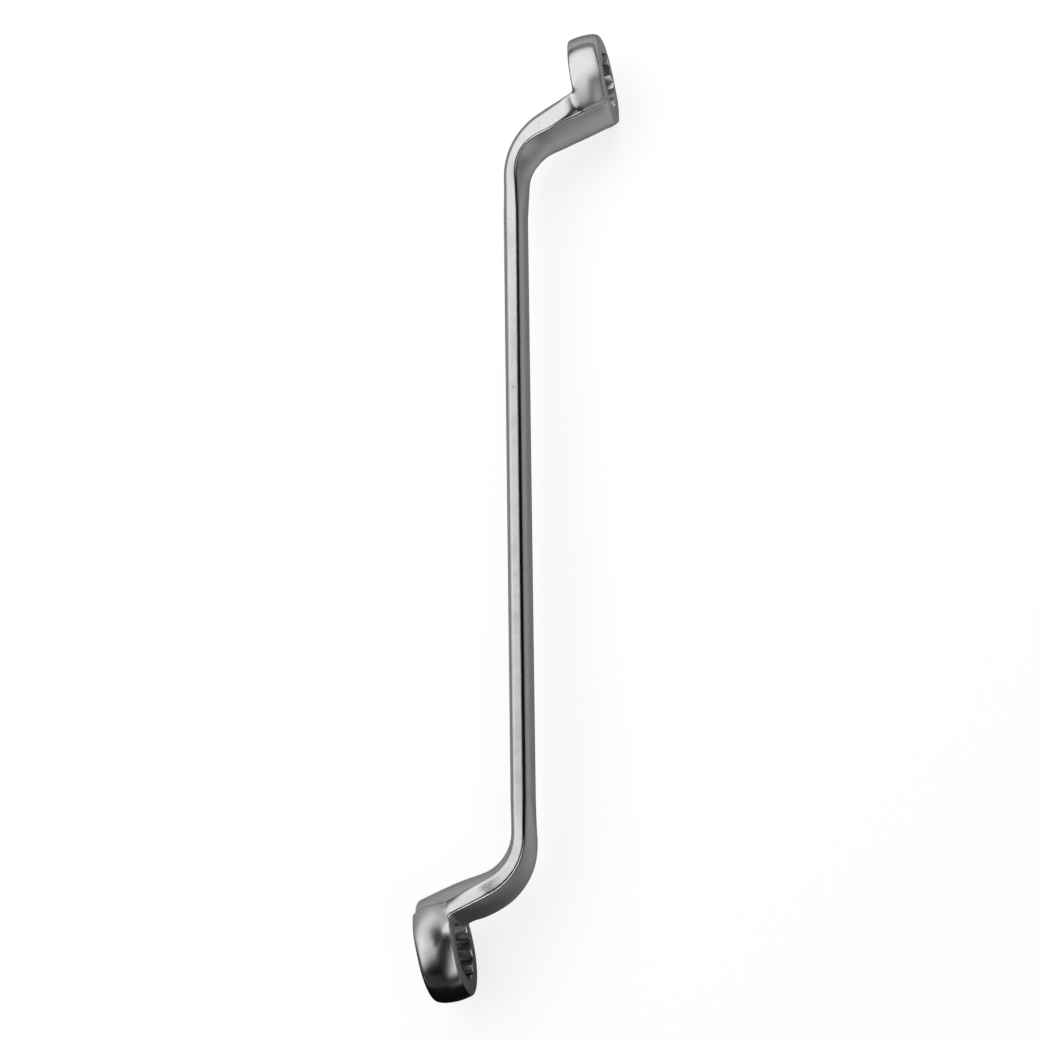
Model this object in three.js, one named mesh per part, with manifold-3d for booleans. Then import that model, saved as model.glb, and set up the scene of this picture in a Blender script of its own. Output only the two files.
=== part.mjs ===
// Ring spanner with two offset 12-point rings, 17 mm and 16 mm across flats.
// Millimetres. +Y runs along the shank towards the small ring, +Z across its width.
// The spanner lies on its side: the two ring walls stand on the plane z = 0.
import * as THREE from 'three';
import { mergeVertices } from 'three/addons/utils/BufferGeometryUtils.js';
import Module from 'manifold-3d';

const wasm = await Module();
wasm.setup();
const { degToRad } = THREE.MathUtils;

// Driving dimensions in millimetres, angles in degrees

// Distance between the two ring centres, measured along the shank
const ringSpan = 255;

// Shank section: two flat bands along its sides, joined by two shallow crowns
const shank = { width: 11.9, band: 3.4, crown: 1.4 };

// Each end is described in its own frame: +Y outwards along the shank, +X towards the side
// that the ring is offset to. The ring's working face is the one further from the shank.
const largeEnd = {
  acrossFlats: 17,
  ringRadius: 14.64,
  ringHeight: 10.85,
  ringOffset: 23.04,
  ringTiltDegrees: 9.1,
  workCrown: 1.15,
  backCrown: 0.92,
  workRim: 1,
  backRim: 0.5,
  neckReach: 21.8,
  neckDegrees: 27.9,
  bendRadius: 17,
  flareLength: 10,
};

const smallEnd = {
  acrossFlats: 16,
  ringRadius: 14.05,
  ringHeight: 9.5,
  ringOffset: 24,
  ringTiltDegrees: 6.8,
  workCrown: 1.15,
  backCrown: 0.73,
  workRim: 0.7,
  backRim: 0.5,
  neckReach: 18.9,
  neckDegrees: 25,
  bendRadius: 17,
  flareLength: 10,
};

// Faces of each neck. The back face is on the outside of the bend and the work face inside it.
// A face has its width, the distance of its edges from the centre line, and its crown above
// them, at the start, middle and end of the bend, at the root half way from there to the ring,
// and at the fold where the back face meets the ring. The work face runs on to the ring's own.
const largeNeck = {
  backStartWidth: 12.1,
  backStartEdge: 1.45,
  backStartCrown: 2,
  backMiddleWidth: 13.2,
  backMiddleEdge: 1.95,
  backMiddleCrown: 2.75,
  backEndWidth: 15.8,
  backEndEdge: 2.25,
  backEndCrown: 3.25,
  backRootWidth: 19,
  backRootEdge: 2.35,
  backRootCrown: 2.7,
  backFoldWidth: 22.4,
  backFoldEdge: 2.4,
  backFoldCrown: 1.4,
  workStartWidth: 11.9,
  workStartEdge: 1.7,
  workStartCrown: 1.3,
  workMiddleWidth: 12.6,
  workMiddleEdge: 1.6,
  workMiddleCrown: 2.1,
  workEndWidth: 14.4,
  workEndEdge: 2.35,
  workEndCrown: 2.2,
  workRootWidth: 16,
  workRootEdge: 2.4,
  workRootCrown: 3.2,
  workFoldWidth: 17,
  workFoldEdge: 2.4,
  workFoldCrown: 3.9,
  workFaceWidth: 17,
  workFaceEdge: 2.4,
  workFaceCrown: 5.1,
};

const smallNeck = {
  backStartWidth: 12.1,
  backStartEdge: 1.7,
  backStartCrown: 1.2,
  backMiddleWidth: 13.2,
  backMiddleEdge: 2.1,
  backMiddleCrown: 1.6,
  backEndWidth: 16,
  backEndEdge: 2.55,
  backEndCrown: 2,
  backRootWidth: 19.2,
  backRootEdge: 2.6,
  backRootCrown: 1.9,
  backFoldWidth: 23.2,
  backFoldEdge: 2.6,
  backFoldCrown: 0.8,
  workStartWidth: 11.9,
  workStartEdge: 1.45,
  workStartCrown: 2.5,
  workMiddleWidth: 12.6,
  workMiddleEdge: 1.4,
  workMiddleCrown: 3.9,
  workEndWidth: 14.8,
  workEndEdge: 2.5,
  workEndCrown: 3.6,
  workRootWidth: 16.4,
  workRootEdge: 2.6,
  workRootCrown: 3.7,
  workFoldWidth: 17.2,
  workFoldEdge: 2.6,
  workFoldCrown: 4,
  workFaceWidth: 17.2,
  workFaceEdge: 2.65,
  workFaceCrown: 4.6,
};

// Lead-in chamfer at both mouths of a hole
const leadIn = 0.4;
// How far a hole runs past the ring's back face into the foot of the neck
const holeRunOut = 0.5;
// Least distance between a ring's back rim and the plane that parts it from its neck
const partingGap = 0.2;
// How far a cutting block reaches past what it cuts
const overrun = 5;

// Shape counts and exponents
const hexSides = 6;
const ringSides = 48;
const rimSteps = 3;
const crownSteps = 8;
const faceSteps = 8;
const spanSteps = 3;
const crownPower = 4;

const steel = { color: 0x9c9d9c, roughness: 0.28, metalness: 1 };

// Solids from geometries and back

function solidOf(geometry) {
  const bare = geometry.clone();
  bare.deleteAttribute('normal');
  bare.deleteAttribute('uv');
  const merged = mergeVertices(bare);
  const vertProperties = new Float32Array(merged.attributes.position.array);
  const triVerts = new Uint32Array(merged.index.array);
  return new wasm.Manifold(new wasm.Mesh({ numProp: 3, vertProperties, triVerts }));
}

function geometryOf(solid) {
  const { vertProperties, triVerts } = solid.getMesh();
  const indexed = new THREE.BufferGeometry();
  indexed.setAttribute('position', new THREE.BufferAttribute(vertProperties, 3));
  indexed.setIndex(new THREE.BufferAttribute(triVerts, 1));
  const geometry = indexed.toNonIndexed();
  geometry.computeVertexNormals();
  return geometry;
}

function forged(name, solid) {
  const mesh = new THREE.Mesh(geometryOf(solid), new THREE.MeshStandardMaterial(steel));
  mesh.name = name;
  return mesh;
}

// Shank and neck section

const sides = { back: 1, work: -1 };
const measures = ['width', 'edge', 'crown'];
const shankFace = { width: shank.width, edge: shank.band / 2, crown: shank.crown };

// Outline of one section as [across, up] pairs: the back face, then the work face
function sectionOutline(section) {
  const outline = [];
  for (const [side, sign] of Object.entries(sides)) {
    const { width, edge, crown } = section[side];
    for (let i = 0; i <= faceSteps; i += 1) {
      const share = Math.cos((Math.PI * i) / faceSteps);
      const up = edge + crown * (1 - Math.abs(share) ** crownPower);
      outline.push([(sign * width * share) / 2, sign * up]);
    }
  }
  return outline;
}

// A closed skin over a row of outlines that have equal point counts
function loft(rows) {
  const count = rows[0].length;
  const last = (rows.length - 1) * count;
  const index = [];
  for (let row = 0; row < rows.length - 1; row += 1) {
    for (let i = 0; i < count; i += 1) {
      const a = row * count + i;
      const b = row * count + ((i + 1) % count);
      index.push(a, a + count, b, b, a + count, b + count);
    }
  }
  for (let i = 1; i < count - 1; i += 1) {
    index.push(0, i, i + 1, last, last + i + 1, last + i);
  }
  const geometry = new THREE.BufferGeometry();
  geometry.setAttribute('position', new THREE.Float32BufferAttribute(rows.flat(2), 3));
  geometry.setIndex(index);
  return geometry;
}

// Centre line of an end: along the shank, round the bend, then straight into the ring

function centreLine(end) {
  const neckAngle = degToRad(end.neckDegrees);
  const turn = Math.PI / 2 - neckAngle;
  const corner = new THREE.Vector2(0, ringSpan / 2 - end.neckReach);
  const tangent = end.bendRadius * Math.tan(turn / 2);
  const bendLength = end.bendRadius * turn;
  const bendStart = new THREE.Vector2(0, corner.y - tangent);
  const bendCentre = new THREE.Vector2(end.bendRadius, bendStart.y);
  // Place and direction at a distance from the start of the bend
  const at = (distance) => {
    const turned = THREE.MathUtils.clamp(distance / end.bendRadius, 0, turn);
    const past = Math.max(distance - bendLength, 0) + Math.min(distance, 0);
    const along = new THREE.Vector2(Math.sin(turned), Math.cos(turned));
    const out = new THREE.Vector2(-along.y, along.x);
    const place = bendCentre.clone().addScaledVector(out, end.bendRadius).addScaledVector(along, past);
    return { place, out };
  };
  return { at, bendLength, bendStart };
}

// Ring frame of an end: centre, and axis towards the working face

function ringFrame(end) {
  const tilt = degToRad(end.ringTiltDegrees);
  const centre = new THREE.Vector2(end.ringOffset, ringSpan / 2);
  const axis = new THREE.Vector2(Math.cos(tilt), Math.sin(tilt));
  return { tilt, centre, axis };
}

// Turns a geometry made round the Y axis onto the ring's axis
function ontoRing(geometry, end) {
  const { tilt, centre } = ringFrame(end);
  return geometry.rotateZ(tilt - Math.PI / 2).translate(centre.x, centre.y, 0);
}

// Distance along the centre line at which it crosses a plane square to the ring's axis
function distanceToLevel(end, line, level) {
  const { centre, axis, tilt } = ringFrame(end);
  const { place } = line.at(line.bendLength);
  const ahead = level - place.clone().sub(centre).dot(axis);
  return line.bendLength + ahead / Math.cos(degToRad(end.neckDegrees) - tilt);
}

// Sections blend smoothly from the shank's, round the bend and on to the working face
function neckSolid(end, neck) {
  const line = centreLine(end);
  const foldAt = distanceToLevel(end, line, -end.ringHeight / 2);
  const faceAt = distanceToLevel(end, line, end.ringHeight / 2);
  const rootAt = (line.bendLength + foldAt) / 2;
  const faceOf = (name) => ({
    width: neck[name + 'Width'],
    edge: neck[name + 'Edge'],
    crown: neck[name + 'Crown'],
  });
  const stations = [
    { at: -end.flareLength, back: shankFace, work: shankFace },
    { at: 0, back: faceOf('backStart'), work: faceOf('workStart') },
    { at: line.bendLength / 2, back: faceOf('backMiddle'), work: faceOf('workMiddle') },
    { at: line.bendLength, back: faceOf('backEnd'), work: faceOf('workEnd') },
    { at: rootAt, back: faceOf('backRoot'), work: faceOf('workRoot') },
    { at: foldAt, back: faceOf('backFold'), work: faceOf('workFold') },
    { at: faceAt + overrun, back: faceOf('backFold'), work: faceOf('workFace') },
  ];
  const curveOf = (side, measure) => {
    const points = stations.map((station) => new THREE.Vector2(station.at, station[side][measure]));
    return new THREE.SplineCurve(points);
  };
  const rows = [];
  const steps = (stations.length - 1) * spanSteps;
  for (let i = 0; i <= steps; i += 1) {
    const section = {};
    let distance = 0;
    for (const side of Object.keys(sides)) {
      section[side] = {};
      for (const measure of measures) {
        const sample = curveOf(side, measure).getPoint(i / steps);
        section[side][measure] = sample.y;
        distance = sample.x;
      }
    }
    const { place, out } = line.at(distance);
    const spot = ([across, up]) => [place.x + out.x * up, place.y + out.y * up, across];
    rows.push(sectionOutline(section).map(spot));
  }
  return solidOf(loft(rows));
}

// Ring disc with a crowned wall and rounded rims

function crownRadius(end, level) {
  const crown = level < 0 ? end.backCrown : end.workCrown;
  return end.ringRadius - crown * (level / (end.ringHeight / 2)) ** 2;
}

// A rim's rounding from the flat face to the wall
function rimPoints(end, side) {
  const rim = side < 0 ? end.backRim : end.workRim;
  const level = end.ringHeight / 2 - rim;
  const points = [];
  for (let i = 0; i <= rimSteps; i += 1) {
    const angle = (Math.PI / 2) * (i / rimSteps);
    const radius = crownRadius(end, side * level) - rim * (1 - Math.sin(angle));
    points.push(new THREE.Vector2(radius, side * (level + rim * Math.cos(angle))));
  }
  return points;
}

function discSolid(end) {
  const back = rimPoints(end, -1);
  const work = rimPoints(end, 1).reverse();
  const low = back[rimSteps].y;
  const high = work[0].y;
  const wall = [];
  for (let i = 1; i < crownSteps; i += 1) {
    const level = THREE.MathUtils.lerp(low, high, i / crownSteps);
    wall.push(new THREE.Vector2(crownRadius(end, level), level));
  }
  const bottom = new THREE.Vector2(0, -end.ringHeight / 2);
  const top = new THREE.Vector2(0, end.ringHeight / 2);
  const profile = [bottom, ...back, ...wall, ...work, top];
  return solidOf(ontoRing(new THREE.LatheGeometry(profile, ringSides), end));
}

// 12-point hole: two hexagons turned by half a side, with a lead-in cone at each mouth

function toothRadius(end) {
  return end.acrossFlats / 2 / Math.cos(Math.PI / (2 * hexSides));
}

function hexPrism(end, turn) {
  const length = end.ringHeight + holeRunOut + overrun;
  const corner = end.acrossFlats / 2 / Math.cos(Math.PI / hexSides);
  const prism = new THREE.CylinderGeometry(corner, corner, length, hexSides);
  const middle = (overrun - holeRunOut) / 2;
  return solidOf(ontoRing(prism.rotateY(turn).translate(0, middle, 0), end));
}

function leadInCone(end, side) {
  const face = (side * end.ringHeight) / 2;
  const deep = face - side * leadIn;
  const past = side < 0 ? holeRunOut : overrun;
  const radius = toothRadius(end);
  const profile = [
    new THREE.Vector2(0, deep),
    new THREE.Vector2(radius, deep),
    new THREE.Vector2(radius + leadIn, face),
    new THREE.Vector2(radius + leadIn, face + side * past),
    new THREE.Vector2(0, face + side * past),
  ];
  if (side < 0) {
    profile.reverse();
  }
  return solidOf(ontoRing(new THREE.LatheGeometry(profile, ringSides), end));
}

function holeSolid(end) {
  const halfTurn = Math.PI / hexSides / 2;
  const prisms = hexPrism(end, halfTurn).add(hexPrism(end, -halfTurn));
  return prisms.add(leadInCone(end, 1)).add(leadInCone(end, -1));
}

// Blocks that trim and part an end

// Everything past the working face
function faceBlock(end) {
  const size = ringSpan;
  const block = new THREE.BoxGeometry(size, size, size);
  return solidOf(ontoRing(block.translate(0, (end.ringHeight + size) / 2, 0), end));
}

// Everything on the ring's side of the plane that parts ring and neck
function ringBlock(end) {
  const { axis } = ringFrame(end);
  const backRim = end.ringOffset - (end.ringHeight / 2) * axis.x - end.ringRadius * axis.y;
  const size = ringSpan;
  const block = new THREE.BoxGeometry(size, size, size);
  return solidOf(block.translate(backRim - partingGap + size / 2, ringSpan / 2, 0));
}

function makeEnd(name, end, neck) {
  const trimmed = neckSolid(end, neck).subtract(faceBlock(end));
  const forging = discSolid(end).add(trimmed).subtract(holeSolid(end));
  const block = ringBlock(end);
  const group = new THREE.Group();
  group.add(forged(name + '_ring', forging.intersect(block)));
  group.add(forged(name + '_neck', forging.subtract(block)));
  return group;
}

// Shank between the two flares

function makeShank() {
  const endOf = (end) => centreLine(end).bendStart.y - end.flareLength;
  const levels = [-endOf(largeEnd), endOf(smallEnd)];
  const outline = sectionOutline({ back: shankFace, work: shankFace });
  const rows = levels.map((level) => outline.map(([across, up]) => [-up, level, across]));
  return forged('shank', solidOf(loft(rows)));
}

// Assembly

const spanner = new THREE.Group();
const large = makeEnd('large', largeEnd, largeNeck);
large.rotation.z = Math.PI;
spanner.add(large, makeShank(), makeEnd('small', smallEnd, smallNeck));

// The origin is under the middle of the box, on the plane that the rings stand on
const box = new THREE.Box3().setFromObject(spanner);
const middle = box.getCenter(new THREE.Vector3());
spanner.position.set(-middle.x, -middle.y, -box.min.z);

export default spanner;
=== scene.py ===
import math

import bmesh
import bpy
import numpy as np
from mathutils import Matrix, Vector
from mathutils.bvhtree import BVHTree
from mathutils.kdtree import KDTree


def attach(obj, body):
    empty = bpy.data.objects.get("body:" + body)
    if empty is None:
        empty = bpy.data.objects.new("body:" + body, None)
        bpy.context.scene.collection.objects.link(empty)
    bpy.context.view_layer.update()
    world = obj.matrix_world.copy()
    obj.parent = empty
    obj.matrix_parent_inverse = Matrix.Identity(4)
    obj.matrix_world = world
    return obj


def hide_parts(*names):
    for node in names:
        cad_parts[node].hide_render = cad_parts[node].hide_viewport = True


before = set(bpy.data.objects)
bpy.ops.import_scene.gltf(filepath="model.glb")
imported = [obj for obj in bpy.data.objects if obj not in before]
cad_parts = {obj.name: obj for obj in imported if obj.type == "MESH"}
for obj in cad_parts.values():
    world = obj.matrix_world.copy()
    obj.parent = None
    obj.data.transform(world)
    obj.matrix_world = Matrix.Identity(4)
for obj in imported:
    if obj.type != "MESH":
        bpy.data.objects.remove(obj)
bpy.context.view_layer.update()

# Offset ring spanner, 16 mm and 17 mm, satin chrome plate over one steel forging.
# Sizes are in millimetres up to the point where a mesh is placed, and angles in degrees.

MM = 0.001

# Where the shank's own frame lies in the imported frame
SHANK_MIDDLE = (0.2104, 0.3, 14.638)

RING_SPAN = 255
SHANK_WIDTH = 11.9
SHANK_EDGE = 1.7
SHANK_CROWN = 1.4

# Each end is described outwards along the shank, with its ring offset towards +X
LARGE_END = {
    "turned": -1,
    "across_flats": 17,
    "radius": 14.64,
    "height": 10.85,
    "offset": 23.04,
    "tilt": 9.1,
    "work_crown": 1.15,
    "work_power": 2.5,
    "back_crown": 0.92,
    "work_rim": 1,
    "back_rim": 0.5,
    "neck_reach": 21.8,
    "neck_angle": 27.9,
}
SMALL_END = {
    "turned": 1,
    "across_flats": 16,
    "radius": 14.05,
    "height": 9.5,
    "offset": 24,
    "tilt": 6.8,
    "work_crown": 1.15,
    "work_power": 3.6,
    "back_crown": 0.73,
    "work_rim": 0.7,
    "back_rim": 0.5,
    "neck_reach": 18.9,
    "neck_angle": 25,
}
ENDS = (LARGE_END, SMALL_END)
BEND_RADIUS = 17
BLEND_START = 100
FLARE_LENGTH = 10
FACE_OVERRUN = 3

# Faces of each neck: width, distance of the edges from the centre line, crown above them,
# the crown's power, which is 2 for an arc and higher for a flat top with steep sides,
# and how far from each edge its rounding starts
SHANK_FACE = (SHANK_WIDTH, SHANK_EDGE, SHANK_CROWN, 4, 0.5)
LARGE_NECK = {
    "back": {
        "start": (12.2, 1.45, 2.34, 2, 0.45),
        "middle": (13.6, 2, 3.25, 1.9, 0.45),
        "end": (16.6, 2.35, 3.83, 1.8, 0.45),
        "root": (20, 2.4, 3.47, 1.8, 0.45),
        "fold": (22.8, 2.4, 2.36, 1.8, 0.5),
        "face": (22.8, 2.4, 2.36, 1.8, 0.5),
    },
    "work": {
        "start": (11.9, 1.7, 1.43, 3, 0.45),
        "middle": (12.8, 1.6, 2.46, 2.4, 0.5),
        "end": (15.2, 2, 3.05, 2.2, 0.8),
        "root": (17.4, 2, 4.11, 2.2, 1.6),
        "fold": (19, 1.9, 4.92, 2.2, 2.8),
        "face": (19, 1.9, 6.12, 2.2, 2.8),
    },
}
SMALL_NECK = {
    "back": {
        "start": (12.1, 1.7, 1.2, 4, 0.5),
        "middle": (13.2, 2.1, 1.6, 4, 0.5),
        "end": (16, 2.55, 2, 4, 0.5),
        "root": (19.2, 2.6, 1.9, 4, 0.55),
        "fold": (23.2, 2.6, 0.8, 4, 0.6),
        "face": (23.2, 2.6, 0.8, 4, 0.6),
    },
    "work": {
        "start": (12.1, 1.35, 2.93, 2, 0.45),
        "middle": (13.6, 1, 4.85, 1.8, 0.45),
        "end": (16.6, 2.7, 3.97, 1.8, 0.5),
        "root": (18.2, 2.85, 4.09, 1.8, 0.9),
        "fold": (18.8, 3.3, 3.93, 1.8, 2.2),
        "face": (18.4, 3.4, 4.51, 1.8, 2.2),
    },
}
PLACES = ["start", "middle", "end", "root", "fold", "face"]

# Holes: the lead-in at each mouth, and how far their corners are eased
LEAD_IN = 0.4
MOUTH_STEPS = 7
MOUTH_CLEARANCE = 0.02
HOLE_RUN_OUT = 0.5
TOOTH_SOFTENING = 0.25
CORNER_SOFTENING = 0.35
HOLE_SOFTENING_STEPS = 4
HEX_SIDES = 6

# Steps round and along the swept parts
FACE_STEPS = 40
BAND_STEPS = 6
SPAN_STEPS = 12
RING_SIDES = 192
WALL_STEPS = 24
RIM_STEPS = 6
SOFTENING_STEPS = 7

# The skin that is drawn over the swept parts, and its smoothing
SKIN_VOXEL = 0.325
SMOOTH_ANGLE = 32
SMOOTH_FACTOR = 0.5
SETTLE_SMOOTHING = (6, 2)
LAST_SMOOTHING = 2

# The straight stretch of the shank, along it, and the slope that a cross edge may have
PLAIN_SHANK = (-83.5, 86.5)
CROSS_SLOPE = 0.01

# Blend between a neck's sides and its ring's wall. It grows from the least to its full reach
# across the spanner, and up from the tight fillet at the ring's back face
BLEND = 8
LEAST_BLEND = 0.1
BLEND_SIDE = (8, 10.8)
FILLET = 1.2
BLEND_RISE = (-1, 5.5)
CREST_ROUNDING = 1.2
SETTLE_STEPS = 3
CONTACT = 0.01

# Webs that the blend fills in: the lift that counts as web for its shape and its finish
WEB_RISE = (0.02, 0.35)
WEB_FINISH = (0, 1.1)
WEB_SMOOTHING = 110
WEB_END = 1

# A small bead that the grinding left where the large neck's edge meets its ring
KNOT = (-7.7, 11.4)
KNOT_RADIUS = 0.95
KNOT_HEIGHT = 0.35

# Edges of the crowned faces, and how the lines of painted shade and painted highlight follow them
EDGE_SPACING = 0.25
EDGE_LEAN = (0.45, 0.89)
EDGE_REACH = 2
# On the other side of each neck the painted shade line is fainter and there is no painted highlight
FAINT_PAINTED_SHADE = 0.35
EDGE_FADE = (0.2, 2.5)
LINE_FADE_POWER = 4
# Stations over which the painted highlight comes in along an edge
PAINTED_HIGHLIGHT_FROM = (14, 26)

# A point is on a ring's flat face when it is this near to it and faces along the ring's axis
FLATNESS = 0.05
FACING = 0.9

# Finishes: colours, roughness, and the depth of their relief in millimetres
BRIGHT_PLATE = (0.305, 0.307, 0.304)
HAZY_PLATE = (0.275, 0.278, 0.274)
DULL_PLATE = (0.31, 0.315, 0.306)
# Near-white painted highlight along the edges of the crowned faces, and near-black painted shade
# beside it
PAINTED_HIGHLIGHT_COLOUR = (0.75, 0.75, 0.745)
PAINTED_EDGE_SHADE = (0.015, 0.016, 0.015)
PIT_COLOUR = (0.14, 0.14, 0.14)
METAL_TINT = (0.3, 0.3, 0.3)
BRIGHT_ROUGHNESS = 0.22
DULL_ROUGHNESS = 0.46
WEB_ROUGHNESS = 0.44
SMUDGE_ROUGHNESS = 0.05
RELIEF_DEPTH = 0.03
PIT_DEPTH = 0.5
HOLE_PLATE = (0.7, 0.702, 0.696)
HOLE_STAIN = (0.4, 0.401, 0.4)
HOLE_ROUGHNESS = 0.33
BROACH_DEPTH = 0.012
FACE_BORDER = (-0.12, 0.12)
# Widths of the painted shade line and of the painted highlight line at an edge, in millimetres
PAINTED_SHADE_LINE = (0.52, 0.28)
PAINTED_HIGHLIGHT_LINE = (0.2, 0.07)

# Patterns of the plate: scales per metre, detail, and what each finish takes of them
GRAIN_SCALE = 5200
GRAIN_DETAIL = 2
WAVE_SCALE = 240
WAVE_DETAIL = 1
SATIN_RELIEF = {"Grain": 0.12, "Waves": 1}
BROACHED_RELIEF = {"Grain": 0.2, "Waves": 0.6}
FINE_PITS = {"Scale": 620, "Size": 0.13, "Share": 0.6}
PIT_PATCH_SCALE = 130
PIT_PATCH_DETAIL = 2
HAND_SMUDGES = {"Scale": 95}
HOLE_SMUDGES = {"Scale": 260}
SMUDGE_DETAIL = 4
SMUDGE_EDGES = (0.45, 0.75)
BROACH_STROKES = (90, 2600, 2600)
BROACH_DETAIL = 2

# Studio, in metres: each card's borders are given as where its light starts and is full
SOFTBOX = {
    "level": 2.55,
    "place": (-0.15, 0.8, 0.5),
    "size": (2.3, 3.4),
    "slant": 0.8,
    "edges": {"left": (-1.3, -0.5), "right": (0.95, 0.1), "near": (-0.4, 0.2), "far": (2.2, 0.85)},
}
STRIP = {
    "level": 2.1,
    "place": (0.45, -0.8, 0.49),
    "size": (1.05, 2),
    "edges": {"left": (0.08, 0.3), "right": (0.95, 0.5), "near": (-1.6, -0.6), "far": (0.12, -0.3)},
}
END_CARD = {
    "level": 0.5,
    "place": (0, 2.8, 0.6),
    "size": (4, 1.2),
    "raised": math.pi / 2,
    "edges": {"left": (-2, -1), "right": (2, 1)},
}
# A black sheet of painted shade lies under the large ring: the camera doesn't see it, it casts no
# shadow, and only the metal reflects it in place of the shade there
PAINTED_SHADE_SHEET = {
    "place": (-0.1, -2, 0.001),
    "size": (0.6, 3.9),
    "edges": {"left": (-0.4, -0.2), "right": (0.14, 0.03), "near": (-4, -3.9), "far": (-0.1, -0.155)},
}
PAINTED_SHADE_COLOUR = (0.01, 0.01, 0.01)
HOTSPOT_LEVEL = 0.8
HOTSPOT_PLACE = (-0.33, -0.12, 0.48)
HOTSPOT_SIZE = 0.28
FLOOR_SIZE = 8
FLOOR_COLOUR = (0.95, 0.95, 0.95)
FLOOR_GLOW = 0.8
FLOOR_GLOW_IN_METAL = 0.3
ROOM_COLOUR = (0.09, 0.092, 0.09)

# Camera, in metres, with its own right, up and back directions
CAMERA_PLACE = (0.18021, -0.18340, 0.83934)
CAMERA_RIGHT = (0.97638, -0.01234, -0.21570)
CAMERA_UP = (0.05664, 0.97807, 0.20043)
CAMERA_BACK = (0.20849, -0.20791, 0.95567)
SENSOR = 36
PHOTO_WIDTH = 1040
FOCAL_PIXELS = 2976.162
FOCAL_LENGTH = FOCAL_PIXELS / PHOTO_WIDTH * SENSOR


# Small helpers for edit mode


def deselect_objects():
    if bpy.context.object and bpy.context.object.mode != "OBJECT":
        bpy.ops.object.mode_set(mode="OBJECT")
    bpy.ops.object.select_all(action="DESELECT")


def choose(piece, *others):
    deselect_objects()
    for other in others:
        other.select_set(True)
    piece.select_set(True)
    bpy.context.view_layer.objects.active = piece


def edit(piece):
    choose(piece)
    bpy.ops.object.mode_set(mode="EDIT")
    bpy.ops.mesh.select_mode(type="VERT")
    return bmesh.from_edit_mesh(piece.data)


def leave_edit():
    bpy.ops.object.mode_set(mode="OBJECT")


def use_modifier(piece, kind, **settings):
    choose(piece)
    modifier = piece.modifiers.new(kind.title(), kind)
    for key, value in settings.items():
        setattr(modifier, key, value)
    bpy.ops.object.modifier_apply(modifier=modifier.name)


# The shank's centre line round each end


def turn_of(end):
    return math.radians(90 - end["neck_angle"])


def bend_start(end):
    return RING_SPAN / 2 - end["neck_reach"] - BEND_RADIUS * math.tan(turn_of(end) / 2)


def bend_length(end):
    return BEND_RADIUS * turn_of(end)


def line_at(end, distance):
    """Place on the centre line and the direction of the back face there."""
    turned = min(max(distance / BEND_RADIUS, 0), turn_of(end))
    past = max(distance - bend_length(end), 0) + min(distance, 0)
    along = np.array([math.sin(turned), math.cos(turned)])
    out = np.array([-along[1], along[0]])
    centre = np.array([BEND_RADIUS, bend_start(end)])
    return centre + out * BEND_RADIUS + along * past, out


def ring_centre(end):
    return np.array([end["offset"], RING_SPAN / 2])


def ring_axis(end):
    tilt = math.radians(end["tilt"])
    return np.array([math.cos(tilt), math.sin(tilt)])


def distance_to_level(end, level):
    place, _ = line_at(end, bend_length(end))
    ahead = level - (place - ring_centre(end)) @ ring_axis(end)
    return bend_length(end) + ahead / math.cos(math.radians(end["neck_angle"] - end["tilt"]))


def stations(end):
    """Distances along the centre line of the places that a neck is described at."""
    bend = bend_length(end)
    fold = distance_to_level(end, -end["height"] / 2)
    face = distance_to_level(end, end["height"] / 2) + FACE_OVERRUN
    return [-FLARE_LENGTH, 0, bend / 2, bend, (bend + fold) / 2, fold, face]


# Sections of the shank and its necks


def smooth_between(points, share):
    """A point on the smooth curve through a row of points."""
    count = len(points)
    spot = (count - 1) * share
    step = min(int(spot), count - 2)
    t = spot - step
    p0, p1, p2, p3 = (points[min(max(step + k, 0), count - 1)] for k in (-1, 0, 1, 2))
    v0, v1 = (p2 - p0) / 2, (p3 - p1) / 2
    return (2 * (p1 - p2) + v0 + v1) * t**3 + (3 * (p2 - p1) - 2 * v0 - v1) * t**2 + v0 * t + p1


def face_height(face, share):
    _, edge, crown, power, _ = face
    return edge + crown * (1 - np.abs(share) ** power)


def face_row(face, sign):
    """One crowned face, short of its two edges, as (across, up)."""
    width, softening = face[0], face[-1]
    last = 1 - softening / (width / 2)
    share = last * np.cos(np.linspace(0, math.pi, FACE_STEPS + 1))
    return [(sign * width * s / 2, sign * face_height(face, s)) for s in share]


def with_band(row, corners, softenings, following):
    """Adds the rounded edges and the flat band between one face and the next."""
    start, end = (np.array(corner) for corner in corners)
    along = (end - start) / np.linalg.norm(end - start)
    top, bottom = start + along * softenings[0], end - along * softenings[1]
    points = rounded(row[-1], start, top)[1:]
    points += list(np.linspace(top, bottom, BAND_STEPS + 1)[1:-1])
    points += rounded(bottom, end, following[0])[:-1]
    return row + [tuple(point) for point in points]


def rounded(before, corner, after, steps=SOFTENING_STEPS):
    """The points of a curve that takes the place of a corner."""
    before, corner, after = (np.array(point) for point in (before, corner, after))
    shares = np.linspace(0, 1, steps + 1)
    return [before * (1 - t) ** 2 + 2 * corner * t * (1 - t) + after * t**2 for t in shares]


def section(back, work):
    upper, lower = face_row(back, 1), face_row(work, -1)
    far = (-back[0] / 2, back[1]), (-work[0] / 2, -work[1])
    near = (work[0] / 2, -work[1]), (back[0] / 2, back[1])
    down, up = (back[-1], work[-1]), (work[-1], back[-1])
    return with_band(upper, far, down, lower) + with_band(lower, near, up, upper)


def place_section(end, distance, outline):
    """Carries an outline of (across, up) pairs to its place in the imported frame, in metres."""
    place, out = line_at(end, distance)
    across, up = np.array(outline).T
    turned = end["turned"]
    x = turned * (place[0] + out[0] * up)
    y = turned * (place[1] + out[1] * up)
    return (np.column_stack([x, y, across]) + SHANK_MIDDLE) * MM


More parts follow.
